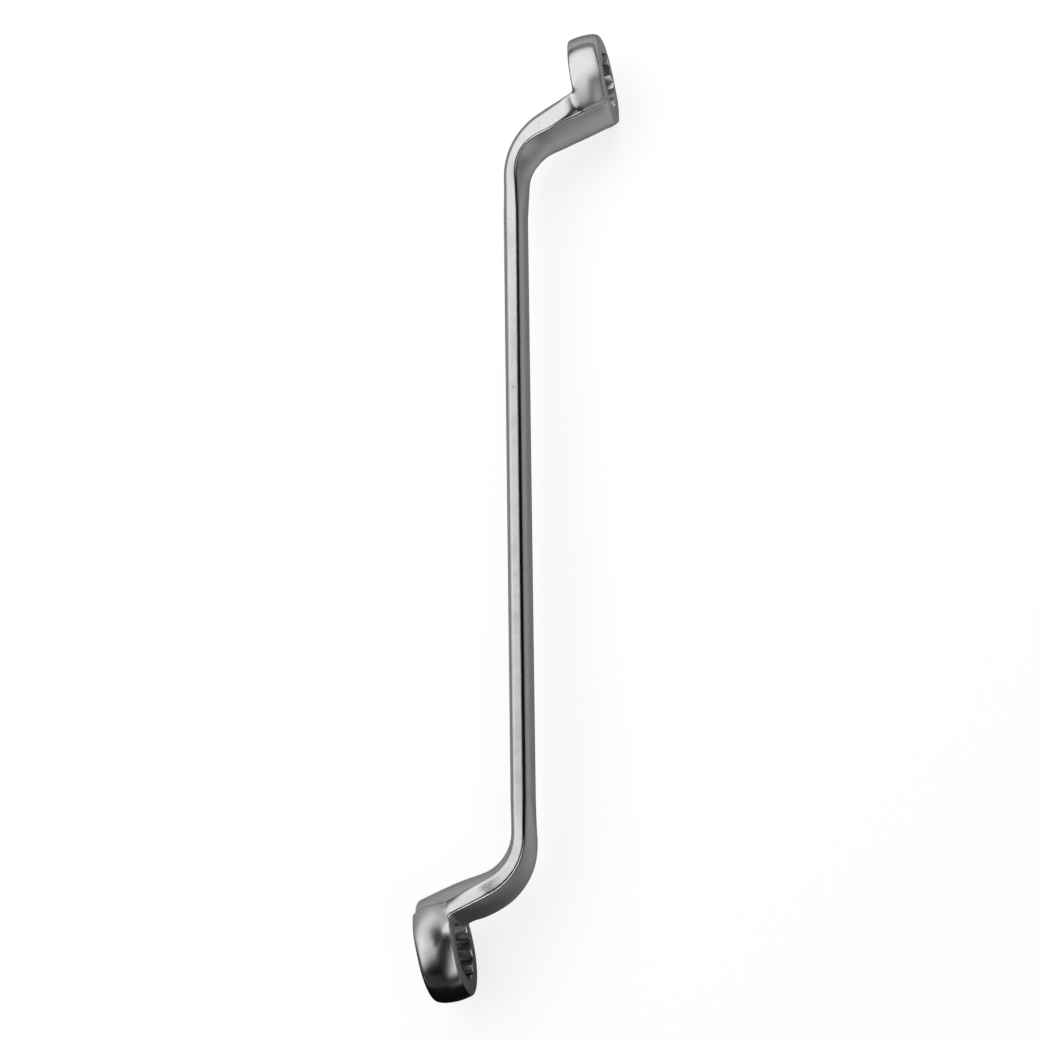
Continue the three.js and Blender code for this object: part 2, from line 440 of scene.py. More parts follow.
def neck_sections(end, neck):
    distances = stations(end)
    faces = {}
    for side in ("back", "work"):
        rows = [SHANK_FACE] + [neck[side][place] for place in PLACES]
        faces[side] = [np.array([distance, *row]) for distance, row in zip(distances, rows)]
    sections = []
    steps = (len(distances) - 1) * SPAN_STEPS
    for i in range(steps + 1):
        back = smooth_between(faces["back"], i / steps)
        work = smooth_between(faces["work"], i / steps)
        outline = section(tuple(back[1:]), tuple(work[1:]))
        sections.append(place_section(end, back[0], turned_round(end, outline)))
    return sections


def turned_round(end, outline):
    """The large end is turned round, so its outline runs the other way."""
    if end["turned"] > 0:
        return outline
    shift = len(outline) // 2 - FACE_STEPS - 1
    outline = outline[::-1]
    return outline[shift:] + outline[:shift]


def edge_lines(end, neck):
    """Points along the four edges of a neck's crowned faces, and the way across each."""
    distances = [-bend_start(end)] + stations(end)
    lines = []
    for side, up in (("back", 1), ("work", -1)):
        rows = [SHANK_FACE, SHANK_FACE] + [neck[side][place] for place in PLACES]
        rows = [np.array([distance, *row]) for distance, row in zip(distances, rows)]
        steps = (len(distances) - 1) * SPAN_STEPS
        faces = [smooth_between(rows[1:], i / steps) for i in range(steps + 1)]
        for across in (-1, 1):
            line = []
            for distance, width, edge, *_ in [rows[0], *faces]:
                corner = np.array([across * width / 2, up * edge])
                lean = np.array([-across * EDGE_LEAN[0], up * EDGE_LEAN[1]])
                line.append(place_section(end, distance, [corner, corner + lean]))
            lines.append((side, line))
    return lines


# Sweeps


def sweep(name, sections):
    """Extrudes a filled circle from section to section."""
    deselect_objects()
    bpy.ops.mesh.primitive_circle_add(vertices=len(sections[0]), radius=1, fill_type="NGON")
    piece = bpy.context.object
    piece.name = name
    mesh = edit(piece)
    mesh.verts.ensure_lookup_table()
    for vertex, spot in zip(mesh.verts, sections[0]):
        vertex.co = spot
    for before, after in zip(sections, sections[1:]):
        bpy.ops.mesh.extrude_region_move()
        mesh = bmesh.from_edit_mesh(piece.data)
        for vertex in mesh.verts:
            if vertex.select:
                gaps = ((before - np.array(vertex.co)) ** 2).sum(1)
                vertex.co = after[int(gaps.argmin())]
        bmesh.update_edit_mesh(piece.data)
    bpy.ops.mesh.select_all(action="SELECT")
    bpy.ops.mesh.normals_make_consistent(inside=False)
    leave_edit()
    return piece


def on_ring(end, outline, level):
    """Carries an outline across the ring's axis to its level along it, in metres."""
    axis = ring_axis(end)
    side = np.array([-axis[1], axis[0]])
    t, z = np.array(outline).T
    centre = ring_centre(end) + axis * level
    flat = centre + side * t[:, None]
    turned = end["turned"]
    spots = np.column_stack([turned * flat, z])
    return (spots + SHANK_MIDDLE) * MM


def round_outline(radius):
    angles = np.linspace(0, 2 * math.pi, RING_SIDES, endpoint=False)
    return [(radius * math.cos(a), radius * math.sin(a)) for a in angles]


def wall_radius(end, level):
    share = level / (end["height"] / 2)
    if level < 0:
        return end["radius"] - end["back_crown"] * share**2
    return end["radius"] - end["work_crown"] * share ** end["work_power"]


def rim_profile(end, side):
    rim = end["back_rim"] if side < 0 else end["work_rim"]
    level = end["height"] / 2 - rim
    points = []
    for i in range(RIM_STEPS + 1):
        angle = math.pi / 2 * i / RIM_STEPS
        radius = wall_radius(end, side * level) - rim * (1 - math.sin(angle))
        points.append((radius, side * (level + rim * math.cos(angle))))
    return points


def ring_profile(end, work):
    back = rim_profile(end, -1)
    levels = np.linspace(back[-1][1], work[0][1], WALL_STEPS + 1)[1:-1]
    return back + [(wall_radius(end, level), level) for level in levels] + work


def ring_disc(end):
    profile = ring_profile(end, rim_profile(end, 1)[::-1])
    return sweep("ring_disc", [on_ring(end, round_outline(r), level) for r, level in profile])


def long_disc(end):
    """The ring's disc carried past its working face, to blend the neck into."""
    level = end["height"] / 2 + FACE_OVERRUN
    profile = ring_profile(end, [(wall_radius(end, level), level)])
    return sweep("long_disc", [on_ring(end, round_outline(r), level) for r, level in profile])


# 12-point holes


def softened(corners, amounts):
    """Rounds each corner of a closed outline by its own amount."""
    corners = [np.array(corner) for corner in corners]
    outline = []
    for i, corner in enumerate(corners):
        before, after = corners[i - 1], corners[(i + 1) % len(corners)]
        start = corner + (before - corner) / np.linalg.norm(before - corner) * amounts[i]
        end = corner + (after - corner) / np.linalg.norm(after - corner) * amounts[i]
        outline += rounded(start, corner, end, HOLE_SOFTENING_STEPS)
    return outline


def tooth_radius(end):
    return end["across_flats"] / 2 / math.cos(math.pi / HEX_SIDES / 2)


def corner_radius(end):
    return end["across_flats"] / 2 / math.cos(math.pi / HEX_SIDES)


def hole_outline(end):
    corners = []
    amounts = []
    points = HEX_SIDES * 4
    for i in range(points):
        angle = 2 * math.pi * i / points
        deep = i % 2 == 1
        radius = corner_radius(end) if deep else tooth_radius(end)
        corners.append((radius * math.cos(angle), radius * math.sin(angle)))
        amounts.append(CORNER_SOFTENING if deep else TOOTH_SOFTENING)
    return softened(corners, amounts)


def mouth_levels(end, side):
    """Levels through a mouth of the hole, and the radius of its lead-in at each."""
    face = end["height"] / 2
    mouth = tooth_radius(end) + LEAD_IN
    steps = np.linspace(LEAD_IN, -HOLE_RUN_OUT, MOUTH_STEPS)
    return [(side * (face - step), mouth - step) for step in steps]


def hole_cutter(end):
    """A 12-point prism that flares into a cone at each mouth."""
    outline = np.array(hole_outline(end))
    radius = np.hypot(*outline.T)[:, None]
    past = end["height"] / 2 + FACE_OVERRUN
    levels = mouth_levels(end, -1)[::-1] + mouth_levels(end, 1)
    levels.append((past, levels[-1][1]))
    sections = []
    for level, cone in levels:
        sections.append(on_ring(end, outline * np.maximum(1, cone / radius), level))
    return sweep("hole_cutter", sections)


def cut(piece, cutter):
    use_modifier(piece, "BOOLEAN", operation="DIFFERENCE", solver="EXACT", object=cutter)
    bpy.data.objects.remove(cutter)


# The forging


def trim_faces(piece):
    """Cuts the necks off flush with the working faces."""
    for end in ENDS:
        edit(piece)
        bpy.ops.mesh.select_all(action="SELECT")
        axis = ring_axis(end) * end["turned"]
        face = (ring_centre(end) + ring_axis(end) * end["height"] / 2) * end["turned"]
        spot = (np.array([*face, 0]) + SHANK_MIDDLE) * MM
        bpy.ops.mesh.bisect(
            plane_co=tuple(spot), plane_no=(*axis, 0), use_fill=True, clear_outer=True
        )
        leave_edit()


def smooth_step(low, high, value):
    share = np.clip((value - low) / (high - low), 0, 1)
    return share * share * (3 - 2 * share)


def spots_of(piece):
    spots = np.empty(len(piece.data.vertices) * 3)
    piece.data.vertices.foreach_get("co", spots)
    return spots.reshape(-1, 3)


def levels_of(end, spots):
    """How far along a ring's axis points lie, in millimetres from its middle."""
    flat = (spots / MM - SHANK_MIDDLE)[:, :2] * end["turned"]
    return (flat - ring_centre(end)) @ ring_axis(end)


def add_group(piece, name, weights):
    group = piece.vertex_groups.new(name=name)
    for index in np.nonzero(weights > 0)[0]:
        group.add([int(index)], float(weights[index]), "REPLACE")


def smooth(piece, iterations, group=""):
    settings = {"factor": SMOOTH_FACTOR, "iterations": iterations, "vertex_group": group}
    use_modifier(piece, "SMOOTH", **settings)


def tree_of(piece):
    mesh = piece.data
    corners = [vertex.co for vertex in mesh.vertices]
    return BVHTree.FromPolygons(corners, [polygon.vertices for polygon in mesh.polygons])


def signed_gaps(tree, spots):
    """Distances of points from a solid, less than 0 inside it, and the way away from it."""
    found = [tree.find_nearest(spot) for spot in spots.tolist()]
    away = spots - np.array([hit[0] for hit in found])
    ways = np.array([hit[1] for hit in found])
    signs = np.where((away * ways).sum(1) < 0, -1, 1)
    gaps = np.linalg.norm(away, axis=1)
    far = gaps > CONTACT * MM
    ways[far] = away[far] / gaps[far, None] * signs[far, None]
    return gaps * signs / MM, ways


def soft_least(first, second, reach):
    """The lesser of two distances, with a soft change from one to the other."""
    share = np.clip(0.5 + (second[0] - first[0]) / (2 * reach), 0, 1)
    gap = share * first[0] + (1 - share) * second[0] - reach * share * (1 - share)
    return gap, share[:, None] * first[1] + (1 - share[:, None]) * second[1]


def settle(end, spots, neck_tree, disc_tree):
    """Moves points onto the neck and ring, blended into each other and cut off at the face."""
    back, work = -end["height"] / 2, end["height"] / 2
    axis = np.array([*(ring_axis(end) * end["turned"]), 0])
    for _ in range(SETTLE_STEPS):
        level = levels_of(end, spots)
        rise = smooth_step(back + BLEND_RISE[0], back + BLEND_RISE[1], level)
        side = smooth_step(*BLEND_SIDE, np.abs(spots[:, 2] / MM - SHANK_MIDDLE[2]))
        reach = FILLET * (1 - rise) + rise * (LEAST_BLEND + (BLEND - LEAST_BLEND) * side)
        body = soft_least(signed_gaps(neck_tree, spots), signed_gaps(disc_tree, spots), reach)
        face = work - level, np.tile(-axis, (len(spots), 1))
        gap, way = soft_least((-body[0], -body[1]), face, CREST_ROUNDING)
        spots = spots + (gap / (way**2).sum(1))[:, None] * -way * MM
    return spots


def blend_rings(skin, neck_tree):
    """Settles the skin round both rings, with a light smoothing in between."""
    spots = spots_of(skin)
    outer = np.abs(spots[:, 1]) > BLEND_START * MM
    add_group(skin, "ends", outer.astype(float))
    trees = []
    for end in ENDS:
        disc = long_disc(end)
        trees.append(tree_of(disc))
        bpy.data.objects.remove(disc)
    for iterations in SETTLE_SMOOTHING:
        for end, disc_tree in zip(ENDS, trees):
            spots = spots_of(skin)
            own = spots[:, 1] * end["turned"] > BLEND_START * MM
            spots[own] = settle(end, spots[own], neck_tree, disc_tree)
            skin.data.vertices.foreach_set("co", spots.ravel())
        skin.data.update()
        smooth(skin, iterations, "ends")
    smooth_webs(skin, neck_tree, trees)


def smooth_webs(skin, neck_tree, disc_trees):
    """Evens out the webs of metal that rise above both the necks and the rings."""
    spots = spots_of(skin)
    web, soft = np.zeros((2, len(spots)))
    for end, disc_tree in zip(ENDS, disc_trees):
        own = spots[:, 1] * end["turned"] > BLEND_START * MM
        near = spots[own]
        lift = np.minimum(signed_gaps(neck_tree, near)[0], signed_gaps(disc_tree, near)[0])
        face = end["height"] / 2
        inside = 1 - smooth_step(face - WEB_END, face, levels_of(end, near))
        web[own] = smooth_step(*WEB_RISE, lift) * inside
        soft[own] = smooth_step(*WEB_FINISH, lift)
    add_group(skin, "soft_web", soft)
    add_group(skin, "web", web)
    smooth(skin, WEB_SMOOTHING, "web")


def raise_knot(skin):
    """The bead at the foot of the large neck's edge."""
    place = on_ring(LARGE_END, [KNOT], -LARGE_END["height"] / 2)[0]
    for vertex in skin.data.vertices:
        gap = (vertex.co - Vector(place)).length / MM
        if gap < KNOT_RADIUS:
            vertex.co += vertex.normal * KNOT_HEIGHT * (1 - (gap / KNOT_RADIUS) ** 2) * MM


def thin_shank(piece):
    """Takes out the cross edges of the straight shank, which needs none."""
    mesh = edit(piece)
    bpy.ops.mesh.select_mode(type="EDGE")
    bpy.ops.mesh.select_all(action="DESELECT")
    low, high = (level * MM for level in PLAIN_SHANK)
    mesh.edges.ensure_lookup_table()
    for edge in mesh.edges:
        a, b = (vertex.co for vertex in edge.verts)
        if abs(a.y - b.y) < CROSS_SLOPE * MM and low < a.y < high:
            edge.select_set(True)
    bpy.ops.mesh.dissolve_edges(use_verts=True)
    leave_edit()


def edge_tree(end, neck):
    """Closely spaced points of a neck's edges, each with its way across and the strengths of its
    painted highlight and painted shade.
    """
    spots, ways, painted_light, painted_shade = [], [], [], []
    painted_side = "work" if end["turned"] > 0 else "back"
    for side, line in edge_lines(end, neck):
        for i, (before, after) in enumerate(zip(line, line[1:])):
            count = max(math.ceil(np.linalg.norm(after[0] - before[0]) / (EDGE_SPACING * MM)), 1)
            # Painted highlight on one side's edges, with the painted shade full there and faint on
            # the other side
            painted_highlight = smooth_step(*PAINTED_HIGHLIGHT_FROM, i) if side == painted_side else 0
            for share in np.arange(count) / count:
                corner, past = before * (1 - share) + after * share
                spots.append(corner)
                ways.append((past - corner) / MM)
                painted_light.append(painted_highlight)
                painted_shade.append(1 if side == painted_side else FAINT_PAINTED_SHADE)
    tree = KDTree(len(spots))
    for index, spot in enumerate(spots):
        tree.insert(spot, index)
    tree.balance()
    return tree, np.array(spots), np.array(ways), np.array([painted_light, painted_shade])


def face_gaps(piece, neck_tree):
    """How far inside a crowned or flat face points lie, in mm, and their edge's painted highlight and
    painted shade.
    """
    spots = spots_of(piece)
    normals = np.array([vertex.normal for vertex in piece.data.vertices])
    gaps = np.empty(len(spots))
    lines = np.empty((2, len(spots)))
    for end, neck in ((LARGE_END, LARGE_NECK), (SMALL_END, SMALL_NECK)):
        own = np.nonzero(spots[:, 1] * end["turned"] >= 0)[0]
        tree, places, ways, painted_light = edge_tree(end, neck)
        nearest = np.array([tree.find(spot)[1] for spot in spots[own].tolist()])
        gaps[own] = ((spots[own] - places[nearest]) * ways[nearest]).sum(1) / MM
        lines[:, own] = painted_light[:, nearest]
    off = signed_gaps(neck_tree, spots)[0]
    held = 1 - smooth_step(*EDGE_FADE, off)
    gaps = np.clip(gaps, -EDGE_REACH, EDGE_REACH) * held - EDGE_REACH * (1 - held)
    for end in ENDS:
        outer = spots[:, 1] * end["turned"] > BLEND_START * MM
        level = np.abs(np.abs(levels_of(end, spots)) - end["height"] / 2) < FLATNESS
        facing = np.abs(normals[:, :2] @ ring_axis(end)) > FACING
        gaps[outer & level & facing] = EDGE_REACH
    painted_highlight, painted_shade = lines * held**LINE_FADE_POWER
    return gaps, painted_highlight, painted_shade


def mark_faces(piece, neck_tree):
    names = "face_gap", "painted_highlight_edge", "painted_shade_edge"
    for name, values in zip(names, face_gaps(piece, neck_tree)):
        layer = piece.data.attributes.new(name, "FLOAT", "POINT")
        layer.data.foreach_set("value", values)


def mark_webs(piece):
    """Gives each point its share of a web's duller finish."""
    group = piece.vertex_groups["soft_web"].index
    points = piece.data.vertices
    shares = [sum(g.weight for g in point.groups if g.group == group) for point in points]
    layer = piece.data.attributes.new("web_share", "FLOAT", "POINT")
    layer.data.foreach_set("value", shares)


def across_ring(end, spots):
    """Distances of points from a ring's axis, in millimetres."""
    flat = spots / MM - SHANK_MIDDLE
    axis = ring_axis(end)
    side = (flat[:, :2] * end["turned"] - ring_centre(end)) @ np.array([-axis[1], axis[0]])
    return np.hypot(side, flat[:, 2])


def mark_holes(piece):
    """Gives the walls and lead-ins of both holes their own finish."""
    middles = np.array([polygon.center for polygon in piece.data.polygons])
    for end in ENDS:
        radius = across_ring(end, middles)
        clear = end["height"] / 2 - np.abs(levels_of(end, middles)) > MOUTH_CLEARANCE
        for index in np.nonzero((radius < tooth_radius(end) + LEAD_IN) & clear)[0]:
            piece.data.polygons[int(index)].material_index = 1


def make_source():
    """Shank, necks and rings as they are swept, standing in one another."""
    large = neck_sections(LARGE_END, LARGE_NECK)
    small = neck_sections(SMALL_END, SMALL_NECK)
    necks = sweep("necks", large[::-1] + small)
    neck_tree = tree_of(necks)
    trim_faces(necks)
    discs = [ring_disc(end) for end in ENDS]
    choose(necks, *discs)
    bpy.ops.object.join()
    return bpy.context.object, neck_tree


def skin_over(source):
    """One closed skin over all that is swept, drawn tight along the shank."""
    choose(source)
    bpy.ops.object.duplicate()
    skin = bpy.context.object
    skin.name = "spanner_forging"
    use_modifier(skin, "REMESH", mode="VOXEL", voxel_size=SKIN_VOXEL * MM)
    middle = np.abs(spots_of(skin)[:, 1]) <= BLEND_START * MM
    add_group(skin, "middle", middle.astype(float))
    wrap = {"wrap_method": "NEAREST_SURFACEPOINT", "target": source, "vertex_group": "middle"}
    use_modifier(skin, "SHRINKWRAP", **wrap)
    return skin


def make_forging():
    source, neck_tree = make_source()
    forging = skin_over(source)
    blend_rings(forging, neck_tree)
    raise_knot(forging)
    smooth(forging, LAST_SMOOTHING)
    thin_shank(forging)
    for end in ENDS:
        cut(forging, hole_cutter(end))
    mark_webs(forging)
    forging.vertex_groups.clear()
    mark_faces(forging, neck_tree)
    mark_holes(forging)
    bpy.data.objects.remove(source)
    choose(forging)
    bpy.ops.object.shade_smooth_by_angle(angle=math.radians(SMOOTH_ANGLE))
    return forging


# Shader node groups


def new_group(name, inputs, outputs):
    group = bpy.data.node_groups.new(name, "ShaderNodeTree")
    for title, value in inputs.items():
        socket = group.interface.new_socket(title, in_out="INPUT", socket_type="NodeSocketFloat")
        socket.default_value = value
    for title in outputs:
        group.interface.new_socket(title, in_out="OUTPUT", socket_type="NodeSocketFloat")
    start = group.nodes.new("NodeGroupInput")
    finish = group.nodes.new("NodeGroupOutput")
    return group, start, finish


def math_node(nodes, links, operation, *values):
    node = nodes.new("ShaderNodeMath")
    node.operation = operation
    for socket, value in zip(node.inputs, values):
        if isinstance(value, (int, float)):
            socket.default_value = value
        else:
            links.new(value, socket)
    return node.outputs[0]


def noise_value(nodes, links, vector, scale, detail):
    noise = nodes.new("ShaderNodeTexNoise")
    noise.inputs["Detail"].default_value = detail
    links.new(vector, noise.inputs["Vector"])
    if isinstance(scale, (int, float)):
        noise.inputs["Scale"].default_value = scale
    else:
        links.new(scale, noise.inputs["Scale"])
    return noise.outputs["Fac"]


def soft_edge(nodes, links, value, start, end):
    """A share that goes smoothly from 0 at the start to 1 at the end."""
    edge = nodes.new("ShaderNodeMapRange")
    edge.interpolation_type = "SMOOTHSTEP"
    edge.inputs["From Min"].default_value = start
    edge.inputs["From Max"].default_value = end
    links.new(value, edge.inputs["Value"])
    return edge.outputs["Result"]


def make_plate_relief():
    """Height of plated steel: hand-polished unevenness with a fine grain over it."""
    inputs = {"Grain Scale": GRAIN_SCALE, "Wave Scale": WAVE_SCALE, **SATIN_RELIEF}
    group, start, finish = new_group("plate_relief", inputs, ["Height"])
    nodes, links = group.nodes, group.links
    place = nodes.new("ShaderNodeTexCoord").outputs["Object"]
    grain = noise_value(nodes, links, place, start.outputs["Grain Scale"], GRAIN_DETAIL)
    waves = noise_value(nodes, links, place, start.outputs["Wave Scale"], WAVE_DETAIL)
    grain = math_node(nodes, links, "MULTIPLY", grain, start.outputs["Grain"])
    waves = math_node(nodes, links, "MULTIPLY", waves, start.outputs["Waves"])
    links.new(math_node(nodes, links, "ADD", grain, waves), finish.inputs["Height"])
    return group


def make_fine_pits():
    """Mask of small round pits in the plate, strewn unevenly."""
    group, start, finish = new_group("fine_pits", FINE_PITS, ["Mask"])
    nodes, links = group.nodes, group.links
    place = nodes.new("ShaderNodeTexCoord").outputs["Object"]
    cells = nodes.new("ShaderNodeTexVoronoi")
    links.new(place, cells.inputs["Vector"])
    links.new(start.outputs["Scale"], cells.inputs["Scale"])
    spot = math_node(nodes, links, "LESS_THAN", cells.outputs["Distance"], start.outputs["Size"])
    patches = noise_value(nodes, links, place, PIT_PATCH_SCALE, PIT_PATCH_DETAIL)
    where = math_node(nodes, links, "GREATER_THAN", patches, start.outputs["Share"])
    links.new(math_node(nodes, links, "MULTIPLY", spot, where), finish.inputs["Mask"])
    return group


def make_smudges():
    """Share of handling smudges, in soft clouds of a few millimetres."""
    group, start, finish = new_group("smudges", HAND_SMUDGES, ["Share"])
    nodes, links = group.nodes, group.links
    place = nodes.new("ShaderNodeTexCoord").outputs["Object"]
    clouds = noise_value(nodes, links, place, start.outputs["Scale"], SMUDGE_DETAIL)
    links.new(soft_edge(nodes, links, clouds, *SMUDGE_EDGES), finish.inputs["Share"])
    return group


# Finishes


def place_group(nodes, group, values):
    node = nodes.new("ShaderNodeGroup")
    node.node_tree = group
    for title, value in values.items():
        node.inputs[title].default_value = value
    return node.outputs[0]


def mixed_colour(nodes, links, share, first, second):
    mix = nodes.new("ShaderNodeMix")
    mix.data_type = "RGBA"
    links.new(share, mix.inputs["Factor"])
    for socket, colour in ((mix.inputs[6], first), (mix.inputs[7], second)):
        if isinstance(colour, tuple):
            socket.default_value = (*colour, 1)
        else:
            links.new(colour, socket)
    return mix.outputs[2]


def attribute_value(nodes, name):
    attribute = nodes.new("ShaderNodeAttribute")
    attribute.attribute_name = name
    return attribute.outputs["Fac"]


def metal(name):
    material = bpy.data.materials.new(name)
    material.use_nodes = True
    nodes, links = material.node_tree.nodes, material.node_tree.links
    shader = nodes["Principled BSDF"]
    shader.inputs["Metallic"].default_value = 1
    return material, nodes, links, shader


def add_relief(nodes, links, shader, height, depth):
    bump = nodes.new("ShaderNodeBump")
    bump.inputs["Strength"].default_value = 1
    bump.inputs["Distance"].default_value = depth * MM
    links.new(height, bump.inputs["Height"])
    links.new(bump.outputs["Normal"], shader.inputs["Normal"])


def satin_chrome(relief, pits, smudges):
    """Bright bands and ring walls, duller faces, and lines of painted shade and painted highlight
    along the faces' edges.
    """
    material, nodes, links, shader = metal("satin_chrome")
    shader.inputs["Specular Tint"].default_value = (*METAL_TINT, 1)
    gap = attribute_value(nodes, "face_gap")
    dull = soft_edge(nodes, links, gap, *FACE_BORDER)
    # Painted shade line and painted highlight line along each edge of the crowned faces
    off = math_node(nodes, links, "ABSOLUTE", gap)
    painted_shade = soft_edge(nodes, links, off, *PAINTED_SHADE_LINE)
    painted_shade = math_node(nodes, links, "MULTIPLY", painted_shade, attribute_value(nodes, "painted_shade_edge"))
    painted_highlight = soft_edge(nodes, links, off, *PAINTED_HIGHLIGHT_LINE)
    painted_highlight = math_node(nodes, links, "MULTIPLY", painted_highlight, attribute_value(nodes, "painted_highlight_edge"))
    pit = place_group(nodes, pits, FINE_PITS)
    smudge = place_group(nodes, smudges, HAND_SMUDGES)
    colour = mixed_colour(nodes, links, smudge, BRIGHT_PLATE, HAZY_PLATE)
    colour = mixed_colour(nodes, links, dull, colour, DULL_PLATE)
    colour = mixed_colour(nodes, links, pit, colour, PIT_COLOUR)
    # Painted shade, then painted highlight, laid into the base colour
    colour = mixed_colour(nodes, links, painted_shade, colour, PAINTED_EDGE_SHADE)
    colour = mixed_colour(nodes, links, painted_highlight, colour, PAINTED_HIGHLIGHT_COLOUR)
    links.new(colour, shader.inputs["Base Color"])
    range_of_dull = DULL_ROUGHNESS - BRIGHT_ROUGHNESS
    roughness = math_node(nodes, links, "MULTIPLY_ADD", dull, range_of_dull, BRIGHT_ROUGHNESS)
    web, range_of_web = attribute_value(nodes, "web_share"), WEB_ROUGHNESS - BRIGHT_ROUGHNESS
    web = math_node(nodes, links, "MULTIPLY_ADD", web, range_of_web, BRIGHT_ROUGHNESS)
    roughness = math_node(nodes, links, "MAXIMUM", roughness, web)
    roughness = math_node(nodes, links, "MULTIPLY_ADD", smudge, SMUDGE_ROUGHNESS, roughness)
    links.new(roughness, shader.inputs["Roughness"])
    height = place_group(nodes, relief, SATIN_RELIEF)
    height = math_node(nodes, links, "MULTIPLY_ADD", pit, -PIT_DEPTH, height)
    add_relief(nodes, links, shader, height, RELIEF_DEPTH)
    return material


def broached_chrome(relief, smudges):
    """Walls of the holes, with the broach's fine lines along them."""
    material, nodes, links, shader = metal("broached_chrome")
    smudge = place_group(nodes, smudges, HOLE_SMUDGES)
    colour = mixed_colour(nodes, links, smudge, HOLE_PLATE, HOLE_STAIN)
    links.new(colour, shader.inputs["Base Color"])
    roughness = math_node(nodes, links, "MULTIPLY_ADD", smudge, SMUDGE_ROUGHNESS, HOLE_ROUGHNESS)
    links.new(roughness, shader.inputs["Roughness"])
    place = nodes.new("ShaderNodeTexCoord").outputs["Object"]
    lines = nodes.new("ShaderNodeMapping")
    lines.inputs["Scale"].default_value = BROACH_STROKES
    links.new(place, lines.inputs["Vector"])
    strokes = noise_value(nodes, links, lines.outputs["Vector"], 1, BROACH_DETAIL)
    height = place_group(nodes, relief, BROACHED_RELIEF)
    height = math_node(nodes, links, "ADD", height, strokes)
    add_relief(nodes, links, shader, height, BROACH_DEPTH)
    return material


def finish_forging(piece):
    relief = make_plate_relief()
    smudges = make_smudges()
    piece.data.materials.clear()
    piece.data.materials.append(satin_chrome(relief, make_fine_pits(), smudges))
    piece.data.materials.append(broached_chrome(relief, smudges))


# Studio


def make_floor():
    deselect_objects()
    bpy.ops.mesh.primitive_plane_add(size=FLOOR_SIZE, location=(0, 0, 0))
    floor = bpy.context.object
    floor.name = "studio_floor"
    material = bpy.data.materials.new("floor_white")
    material.use_nodes = True
    nodes, links = material.node_tree.nodes, material.node_tree.links
    shader = nodes["Principled BSDF"]
    shader.inputs["Base Color"].default_value = (*FLOOR_COLOUR, 1)
    shader.inputs["Roughness"].default_value = 1
    shader.inputs["Specular IOR Level"].default_value = 0
    glow = nodes.new("ShaderNodeEmission")
    seen = nodes.new("ShaderNodeLightPath")
    by_camera = seen.outputs["Is Camera Ray"]
    by_metal, by_glass = seen.outputs["Is Glossy Ray"], seen.outputs["Is Transmission Ray"]
    in_metal = math_node(nodes, links, "MAXIMUM", by_metal, by_glass)
    in_metal = math_node(nodes, links, "MULTIPLY", in_metal, FLOOR_GLOW_IN_METAL)
    share = math_node(nodes, links, "MULTIPLY_ADD", by_camera, FLOOR_GLOW, in_metal)
    mix = nodes.new("ShaderNodeMixShader")
    links.new(share, mix.inputs["Fac"])
    links.new(shader.outputs[0], mix.inputs[1])
    links.new(glow.outputs[0], mix.inputs[2])
    links.new(mix.outputs[0], nodes["Material Output"].inputs["Surface"])
    floor.data.materials.append(material)


def card_share(nodes, links, edges, slant=0):
    """Fades a card out towards its borders, each given as where it starts and ends."""
    place = nodes.new("ShaderNodeTexCoord")
    split = nodes.new("ShaderNodeSeparateXYZ")
    links.new(place.outputs["Object"], split.inputs[0])
    x, y = split.outputs["X"], split.outputs["Y"]
    values = {"left": x, "right": x, "far": y}
    values["near"] = math_node(nodes, links, "MULTIPLY_ADD", x, -slant, y)
    share = None
    for side, (start, end) in edges.items():
        fade = soft_edge(nodes, links, values[side], start, end)
        share = fade if share is None else math_node(nodes, links, "MULTIPLY", share, fade)
    return share


def card_material(name):
    material = bpy.data.materials.new(name)
    material.use_nodes = True
    nodes, links = material.node_tree.nodes, material.node_tree.links
    nodes.remove(nodes["Principled BSDF"])
    return material, nodes, links, nodes["Material Output"].inputs["Surface"]


def glow_material(name, values):
    material, nodes, links, surface = card_material(name)
    share = card_share(nodes, links, values["edges"], values.get("slant", 0))
    glow = nodes.new("ShaderNodeEmission")
    links.new(math_node(nodes, links, "MULTIPLY", share, values["level"]), glow.inputs["Strength"])
    links.new(glow.outputs[0], surface)
    return material


def painted_shade_material(name, values):
    """A black sheet of painted shade that thins out towards its borders."""
    material, nodes, links, surface = card_material(name)
    clear = nodes.new("ShaderNodeBsdfTransparent")
    cloth = nodes.new("ShaderNodeBsdfDiffuse")
    cloth.inputs["Color"].default_value = (*PAINTED_SHADE_COLOUR, 1)
    mix = nodes.new("ShaderNodeMixShader")
    links.new(card_share(nodes, links, values["edges"]), mix.inputs["Fac"])
    links.new(clear.outputs[0], mix.inputs[1])
    links.new(cloth.outputs[0], mix.inputs[2])
    links.new(mix.outputs[0], surface)
    return material


def make_card(name, values, material):
    deselect_objects()
    bpy.ops.mesh.primitive_plane_add(size=1, rotation=(values.get("raised", 0), 0, 0))
    card = bpy.context.object
    card.name = name
    card.scale = (*values["size"], 1)
    card.location = values["place"]
    bpy.ops.object.transform_apply(location=True, rotation=True, scale=True)
    card.visible_camera = False
    card.data.materials.append(material)
    return card


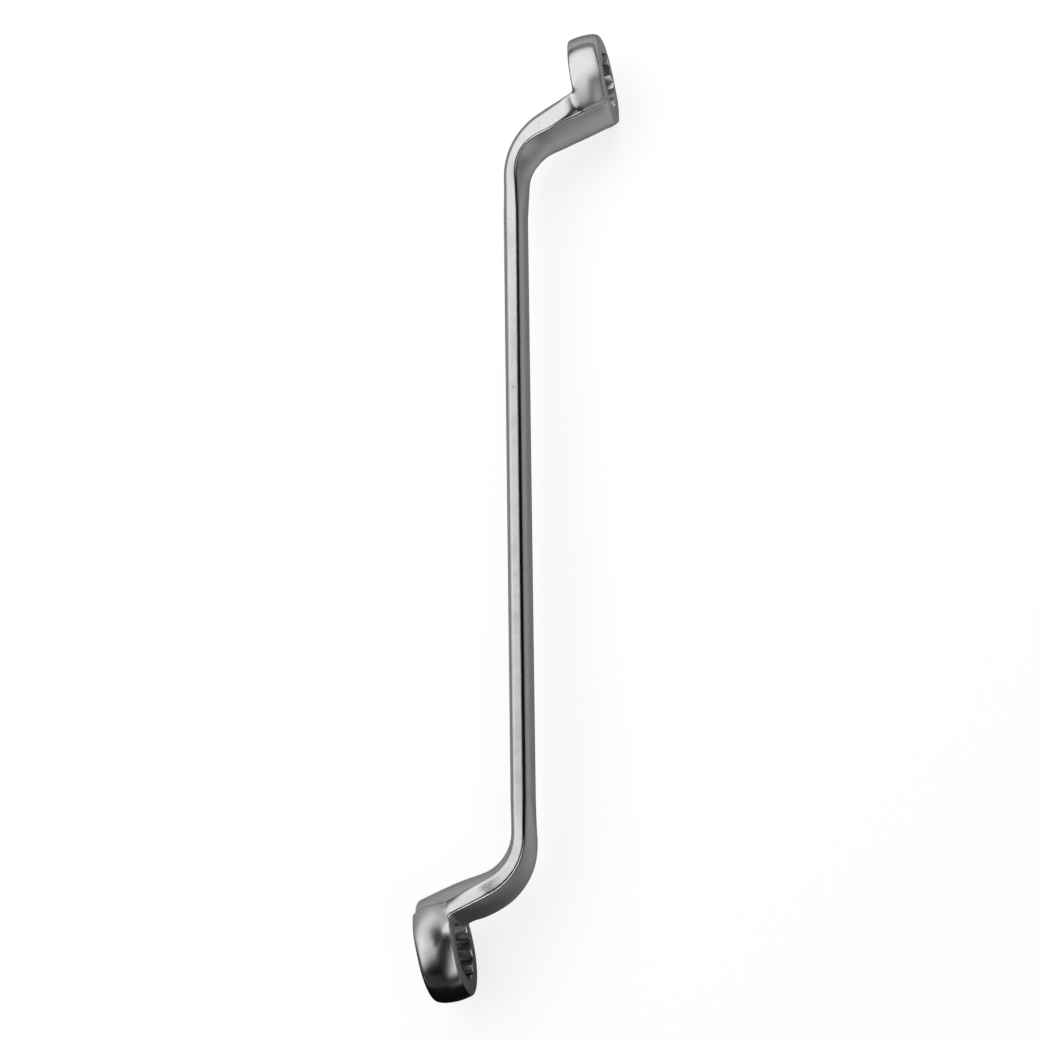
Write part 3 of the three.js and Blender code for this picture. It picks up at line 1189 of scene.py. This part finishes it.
def spot_material(name):
    """Light added to what shines through, strongest in the middle."""
    material, nodes, links, surface = card_material(name)
    place = nodes.new("ShaderNodeTexCoord")
    away = nodes.new("ShaderNodeVectorMath")
    away.operation = "DISTANCE"
    away.inputs[1].default_value = HOTSPOT_PLACE
    links.new(place.outputs["Object"], away.inputs[0])
    share = soft_edge(nodes, links, away.outputs["Value"], HOTSPOT_SIZE / 2, 0)
    glow = nodes.new("ShaderNodeEmission")
    strength = math_node(nodes, links, "MULTIPLY", share, HOTSPOT_LEVEL)
    links.new(strength, glow.inputs["Strength"])
    both = nodes.new("ShaderNodeAddShader")
    clear = nodes.new("ShaderNodeBsdfTransparent")
    links.new(clear.outputs[0], both.inputs[0])
    links.new(glow.outputs[0], both.inputs[1])
    links.new(both.outputs[0], surface)
    return material


def make_lights():
    make_card("overhead_softbox", SOFTBOX, glow_material("softbox_glow", SOFTBOX))
    make_card("side_strip", STRIP, glow_material("strip_glow", STRIP))
    make_card("end_card", END_CARD, glow_material("end_glow", END_CARD))
    hotspot = {"place": HOTSPOT_PLACE, "size": (HOTSPOT_SIZE, HOTSPOT_SIZE)}
    make_card("hotspot", hotspot, spot_material("hotspot_glow"))


def make_painted_shade_sheet():
    """A black sheet of painted shade on the table under the large ring, which only the metal sees and
    reflects.
    """
    sheet = make_card("painted_shade_sheet", PAINTED_SHADE_SHEET, painted_shade_material("painted_shade_black", PAINTED_SHADE_SHEET))
    sheet.visible_diffuse = False
    sheet.visible_shadow = False


def make_world():
    world = bpy.data.worlds.new("studio_world")
    bpy.context.scene.world = world
    world.use_nodes = True
    background = world.node_tree.nodes["Background"]
    background.inputs["Color"].default_value = (*ROOM_COLOUR, 1)
    background.inputs["Strength"].default_value = 1


def make_camera():
    data = bpy.data.cameras.new("photo_camera")
    camera = bpy.data.objects.new("photo_camera", data)
    bpy.context.scene.collection.objects.link(camera)
    data.sensor_width = SENSOR
    data.lens = FOCAL_LENGTH
    axes = Matrix((CAMERA_RIGHT, CAMERA_UP, CAMERA_BACK)).transposed()
    camera.matrix_world = Matrix.Translation(CAMERA_PLACE) @ axes.to_4x4()
    bpy.context.scene.camera = camera


make_camera()
make_floor()
make_world()
make_lights()
make_painted_shade_sheet()

spanner = make_forging()
finish_forging(spanner)
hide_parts("large_ring", "large_neck", "shank", "small_neck", "small_ring")
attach(spanner, "root")

bpy.context.scene.view_settings.view_transform = "Standard"
